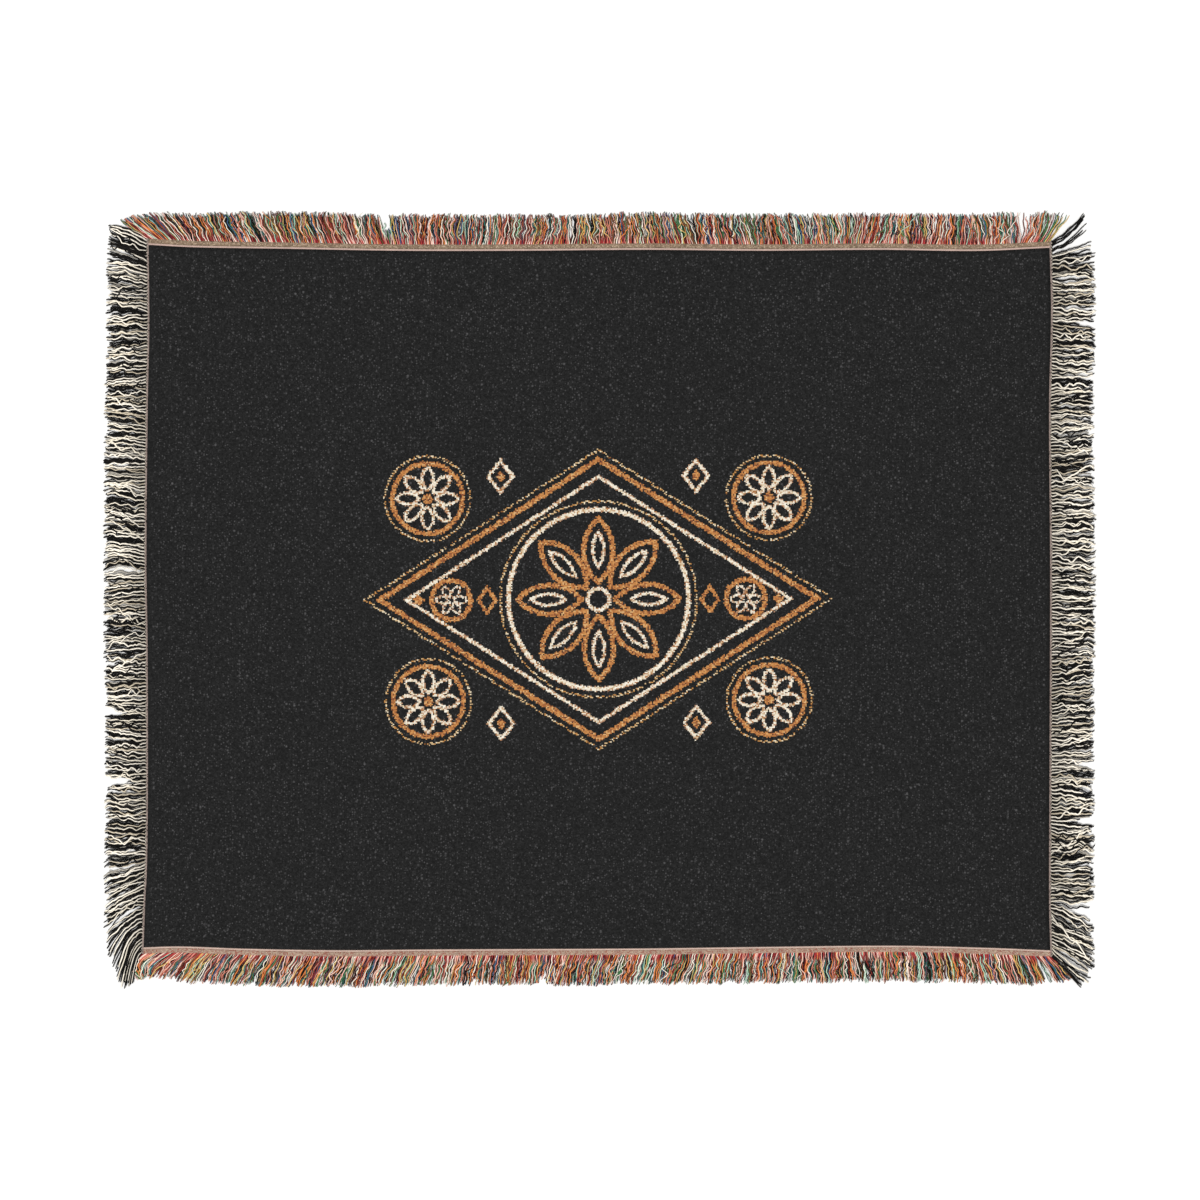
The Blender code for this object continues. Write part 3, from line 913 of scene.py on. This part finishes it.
def yarn_path(tree, given):
    """Where each point of each yarn lies, and how far along its yarn it is. A yarn leaves the cloth's edge,
    leans and sways as its neighbours do, wavers on its own, and comes down onto the floor or onto others."""
    share = made(tree, "GeometryNodeSplineParameter", "Factor")
    root, along, outwards = (named(tree, name, "FLOAT_VECTOR") for name in ("root", "along", "outwards"))
    station = vector_step("DOT_PRODUCT", root, along)
    seed = given["Seed"] * 7.3

    def sway(x, y, page):
        return noise_at(joined(tree, x, y, seed + page), 1.0, 1.0) - 0.5

    tufts = sway(station / ENDS_WIDTH, 0.0, NOISE_PAGE["ends"]) * 2.0
    reach = named(tree, "reach") + given["Root Inset"]
    reach = reach + tufts * given["Uneven Ends"] + named(tree, "cut") * given["Ragged Ends"]
    run = share * reach
    room = named(tree, "room")
    above = calculate("GREATER_THAN", named(tree, "layer"), UPPER_LAYER)
    freedom = LOWER_FREEDOM + above * (1 - LOWER_FREEDOM)
    stray = named(tree, "stray") * freedom
    astray_room = calculate("MAXIMUM", room, named(tree, "cross"))
    stray = stray * abs(stray) * abs(stray) * given["Stray Lean"] * astray_room
    curled = share + named(tree, "curl") * share * (1.0 - share)
    grouped = sway(station / given["Group Width"], above * UPPER_PAGE, NOISE_PAGE["groups"])
    grouped = grouped * given["Group Lean"] * room * freedom
    leaning = calculate("TANGENT", named(tree, "lean")) * curled * reach + (stray + grouped) * run
    drift = sway(station / DRIFT_WIDTH, run / DRIFT_LENGTH, NOISE_PAGE["drift"]) * given["Drift"] * room
    waves = sway(station / given["Wave Width"], run / given["Wave Length"], NOISE_PAGE["waves"])
    waves = waves * given["Waves"] * (WAVES_WITHOUT_ROOM + (1 - WAVES_WITHOUT_ROOM) * room)
    clumping = given["Clumping"] + named(tree, "cross") * CROSS_CLUMPING
    clump = sway(station / CLUMP_WIDTH, run / CLUMP_LENGTH, NOISE_PAGE["clumps"] + above * UPPER_PAGE)
    waves = waves + clump * clumping * freedom
    wiggle = sway(named(tree, "tone") * 90.0, run / given["Wave Length"], NOISE_PAGE["wiggle"])
    wiggle = wiggle * named(tree, "liveliness")
    loose = ramp(run, 0.0, 0.012)
    beat = station + sway(station / BEAT_WIDTH, 0.0, NOISE_PAGE["beat"]) * BEAT_SHIFT
    beat = beat / given["Tuft Spacing"] * math.tau
    gathered = ramp(sway(station / GATHER_WIDTH, 0.0, NOISE_PAGE["gather"]), -0.25, 0.1)
    gathered = named(tree, "tuft") * gathered
    gather = calculate("SINE", beat) * given["Tuft Spacing"] / -math.tau * given["Tufting"] * gathered
    sideways = leaning + drift * ramp(share, 0.0, 0.5) + gather * ramp(share, 0.1, 1.0)
    sideways = sideways + waves * loose + wiggle * given["Wiggle"] * loose
    sideways = sideways + named(tree, "part_ends") * ramp(share, 0.15, 1.0, interpolation="LINEAR")
    sideways = sideways + named(tree, "part_middles") * calculate("SINE", share * math.pi)

    bounce = sway(named(tree, "tone") * 70.0, run / given["Wave Length"], NOISE_PAGE["bounce"]) * 0.5
    pile = (named(tree, "layer") + bounce) * given["Pile"] * ramp(share, 0.6, 1.0, 1.0, 0.4)
    lying = given["Thickness"] * 0.5 + calculate("MAXIMUM", pile, 0.0)
    height = given["Root Height"] + (lying - given["Root Height"]) * ramp(share, 0.0, 0.16)
    spot = vector_step("ADD", root, vector_step("SCALE", outwards, run - given["Root Inset"]))
    spot = vector_step("ADD", spot, vector_step("SCALE", along, sideways))
    return vector_step("ADD", spot, joined(tree, 0.0, 0.0, height)), run, share


def yarn_section(tree, given):
    """The round section that is carried along each yarn. It keeps the place around it, for the twist."""
    sockets = {"Resolution": given["Sides"], "Radius": 1.0}
    section = made(tree, "GeometryNodeCurvePrimitiveCircle", "Curve", sockets)
    cosine, sine, _ = split(made(tree, "GeometryNodeInputPosition", "Position"))
    return stored(stored(section, "around_cos", cosine), "around_sin", sine)


def fringe_yarns_tree():
    """Geometry Nodes that lay loose yarns along a guide line."""
    inputs = {
        "Edge": ("NodeSocketGeometry", None), "Yarns": (WHOLE, 800), "Steps": (WHOLE, 16),
        "Sides": (WHOLE, 5), "Thickness": (NUMBER, 0.0022), "Root Inset": (NUMBER, 0.0012),
        "Root Height": (NUMBER, 0.0014), "Pile": (NUMBER, 0.003), "Drift": (NUMBER, 0.012),
        "Waves": (NUMBER, 0.008), "Wave Length": (NUMBER, 0.009), "Wave Width": (NUMBER, 0.022),
        "Clumping": (NUMBER, 0.004), "Wiggle": (NUMBER, 0.004), "Group Lean": (NUMBER, 0.4),
        "Group Width": (NUMBER, 0.009), "Tufting": (NUMBER, 0.9), "Tuft Spacing": (NUMBER, 0.02),
        "Stray Lean": (NUMBER, 0.4), "Uneven Ends": (NUMBER, 0.004), "Ragged Ends": (NUMBER, 0.0028),
        "Alternation": (NUMBER, 0.7), "Dark Below": (NUMBER, 0.0), "Seed": (WHOLE, 1),
        "Material": ("NodeSocketMaterial", None),
    }
    outputs = {"Geometry": "NodeSocketGeometry"}
    tree, given, sink = new_group("fringe_yarns", "GeometryNodeTree", inputs, outputs)
    strand = made(tree, "GeometryNodeCurvePrimitiveLine", "Curve")
    strand = made(tree, "GeometryNodeResampleCurve", "Curve", {"Curve": strand, "Count": given["Steps"]})
    sockets = {"Points": yarn_roots(tree, given), "Instance": strand}
    yarns = made(tree, "GeometryNodeInstanceOnPoints", "Instances", sockets)
    yarns = made(tree, "GeometryNodeRealizeInstances", "Geometry", {"Geometry": yarns})
    spot, run, share = yarn_path(tree, given)
    yarns = stored(yarns, "run", run)
    yarns = made(tree, "GeometryNodeSetPosition", "Geometry", {"Geometry": yarns, "Position": spot})
    girth = given["Thickness"] * 0.5 * (0.75 + 0.5 * named(tree, "girth"))
    girth = girth * ramp(share, 0.8, 1.0, 1.0, 0.75)
    section = yarn_section(tree, given)
    sockets = {"Curve": yarns, "Profile Curve": section, "Scale": girth, "Fill Caps": True}
    yarns = made(tree, "GeometryNodeCurveToMesh", "Mesh", sockets)
    yarns = made(tree, "GeometryNodeSetShadeSmooth", "Geometry", {"Geometry": yarns})
    yarns = made(tree, "GeometryNodeRealizeInstances", "Geometry", {"Geometry": yarns})
    sockets = {"Geometry": yarns, "Material": given["Material"]}
    yarns = made(tree, "GeometryNodeSetMaterial", "Geometry", sockets)
    return close_group(sink, {"Geometry": yarns})


def parted(side, share, length, column):
    """How far the partings of a side push the fringe aside there."""
    push = 0.0
    for parting in PARTINGS[side]:
        away = (share - parting.share) * length * 1000 / parting.spread_mm
        push += math.copysign(getattr(parting, column), away) * (1 - smooth_step(abs(away)))
    return push / 1000


def shortened(side, share, length, breadth):
    """How much shorter the yarns of a side are there because the fringe parts."""
    losses = [0.0]
    for parting in PARTINGS[side]:
        away = abs(share - parting.share) * length * 1000 / (parting.spread_mm * breadth)
        losses.append(parting.short * (1 - smooth_step(away)))
    return max(losses)


def edge_guide(name, side, out):
    """A guide line along one side, which carries the way the fringe lies there."""
    shares = [k / (GUIDE_STATIONS - 1) for k in range(GUIDE_STATIONS)]
    points = [(*on_side(side, share, out), 0.0) for share in shares]
    mesh = bpy.data.meshes.new(name)
    mesh.from_pydata(points, [(k, k + 1) for k in range(GUIDE_STATIONS - 1)], [])
    length = (Vector(points[-1]) - Vector(points[0])).length
    rows = FRINGE_LIE[side]
    carried = {column: [smooth_value(rows, share, column) for share in shares]
               for column in ("curl", "tuft", "thin", "dark", "cross")}
    carried["lean"] = [math.radians(smooth_value(rows, share, "lean_deg")) for share in shares]
    carried["reach"] = [
        smooth_value(rows, share, "reach_mm") / 1000 * (1 - shortened(side, share, length, SHORT_BREADTH))
        for share in shares
    ]
    carried["part_ends"] = [parted(side, share, length, "ends_mm") for share in shares]
    carried["part_middles"] = [parted(side, share, length, "middles_mm") for share in shares]
    carried["room"] = [
        smooth_step(min(share, 1 - share) * length / CORNER_ROOM)
        * (1 - min(1, ROOM_LOSS * shortened(side, share, length, ROOM_BREADTH))) for share in shares
    ]
    for attribute_name, values in carried.items():
        mesh.attributes.new(attribute_name, "FLOAT", "POINT").data.foreach_set("value", values)
    for attribute_name, direction in (("outwards", OUTWARDS[side]), ("along", ALONG[side])):
        directions = mesh.attributes.new(attribute_name, "FLOAT_VECTOR", "POINT")
        directions.data.foreach_set("vector", direction * GUIDE_STATIONS)
    return mesh


def fringe_yarns(side, tree, strip_width, material, seed, sizes):
    """The loose yarns along one side, as one plain mesh."""
    name = f"yarns_{side}"
    piece = new_piece(name, edge_guide(name, side, strip_width), material)
    modifier = piece.modifiers.new("fringe", "NODES")
    modifier.node_group = tree
    values = {**sizes, "Seed": seed, "Material": material}
    for socket in tree.interface.items_tree:
        if socket.in_out == "INPUT" and socket.name in values:
            modifier[socket.identifier] = values[socket.name]
    evaluated = piece.evaluated_get(bpy.context.evaluated_depsgraph_get())
    mesh = bpy.data.meshes.new_from_object(evaluated)
    piece.modifiers.remove(modifier)
    guide = piece.data
    piece.data = mesh
    bpy.data.meshes.remove(guide)
    mesh.name = name
    spent = [a.name for a in mesh.attributes if a.name in SPENT_ATTRIBUTES]
    for attribute_name in spent:
        mesh.attributes.remove(mesh.attributes[attribute_name])
    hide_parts(f"fringe_{side}")
    return piece


# The set

CAMERA_PLACE = (0.0015, -0.0023, 4.36)
CAMERA_LENS_MM = 85
CAMERA_SENSOR_MM = 36
FLOOR_HALF = 7.0
FLOOR_Z = -0.0004


def add_camera():
    lens = bpy.data.cameras.new("straight_above")
    lens.lens = CAMERA_LENS_MM
    lens.sensor_width = CAMERA_SENSOR_MM
    camera = bpy.data.objects.new("straight_above", lens)
    camera.location = CAMERA_PLACE
    bpy.context.scene.collection.objects.link(camera)
    bpy.context.scene.camera = camera


def add_floor():
    mesh = bpy.data.meshes.new("floor")
    corners = [(-1, -1), (1, -1), (1, 1), (-1, 1)]
    mesh.from_pydata([(x * FLOOR_HALF, y * FLOOR_HALF, FLOOR_Z) for x, y in corners], [], [(0, 1, 2, 3)])
    floor = bpy.data.objects.new("floor", mesh)
    material, _, shader = new_finish("pale_floor", 0.9)
    shader.inputs["Base Color"].default_value = srgb("f4f3f1")
    mesh.materials.append(material)
    bpy.context.scene.collection.objects.link(floor)


def add_light():
    sun = bpy.data.lights.new("soft_key", "SUN")
    sun.energy = 2.5
    sun.angle = math.radians(22)
    key = bpy.data.objects.new("soft_key", sun)
    key.rotation_euler = (math.radians(28), math.radians(-24), 0)
    bpy.context.scene.collection.objects.link(key)
    world = bpy.data.worlds.new("studio")
    world.use_nodes = True
    background = world.node_tree.nodes["Background"]
    background.inputs["Color"].default_value = (1, 1, 1, 1)
    background.inputs["Strength"].default_value = 0.62
    bpy.context.scene.world = world
    bpy.context.scene.view_settings.view_transform = "Standard"


def main():
    add_camera()
    add_floor()
    add_light()
    weave, mottle, twist = thread_grid(), cotton_mottle(), spun_yarn()
    figure = medallion(petal_ring(), lozenge())
    cloth = panel_cloth(jacquard_finish(weave, mottle, figure))
    back_heading = heading_finish("olive_tan_heading", weave, mottle, "99816b", "746350", "caaea2")
    front_heading = heading_finish("pinkish_tan_heading", weave, mottle, "ad9180", "9c584a", "dec2b3")
    selvedge = selvedge_finish(weave, mottle)
    trims = [
        woven_strip("heading_back", "back", HEADING_WIDTH, back_heading),
        woven_strip("heading_front", "front", HEADING_WIDTH, front_heading),
        woven_strip("selvedge_left", "left", SELVEDGE_WIDTH, selvedge),
        woven_strip("selvedge_right", "right", SELVEDGE_WIDTH, selvedge),
    ]
    tree = fringe_yarns_tree()
    # The back and front warp finishes are lit and shaded copies of one yarn: the front one has a brighter
    # painted root. The weft has painted shade at its roots and a painted highlight at its tips.
    back_warp = yarn_finish("many_coloured_back_yarn", twist, warp_colours, 1.03, 1.04)
    front_warp = yarn_finish("many_coloured_front_yarn", twist, warp_colours, 1.25, 1.03)
    weft = yarn_finish("black_and_cream_weft_yarn", twist, weft_colours, 0.72, 1.12)
    for side, warp, seed in (("back", back_warp, 51), ("front", front_warp, 68)):
        trims.append(fringe_yarns(side, tree, HEADING_WIDTH, warp, seed, WARP_FRINGE))
    for side, seed in (("left", 55), ("right", 66)):
        trims.append(fringe_yarns(side, tree, SELVEDGE_WIDTH, weft, seed, WEFT_FRINGE))


main()
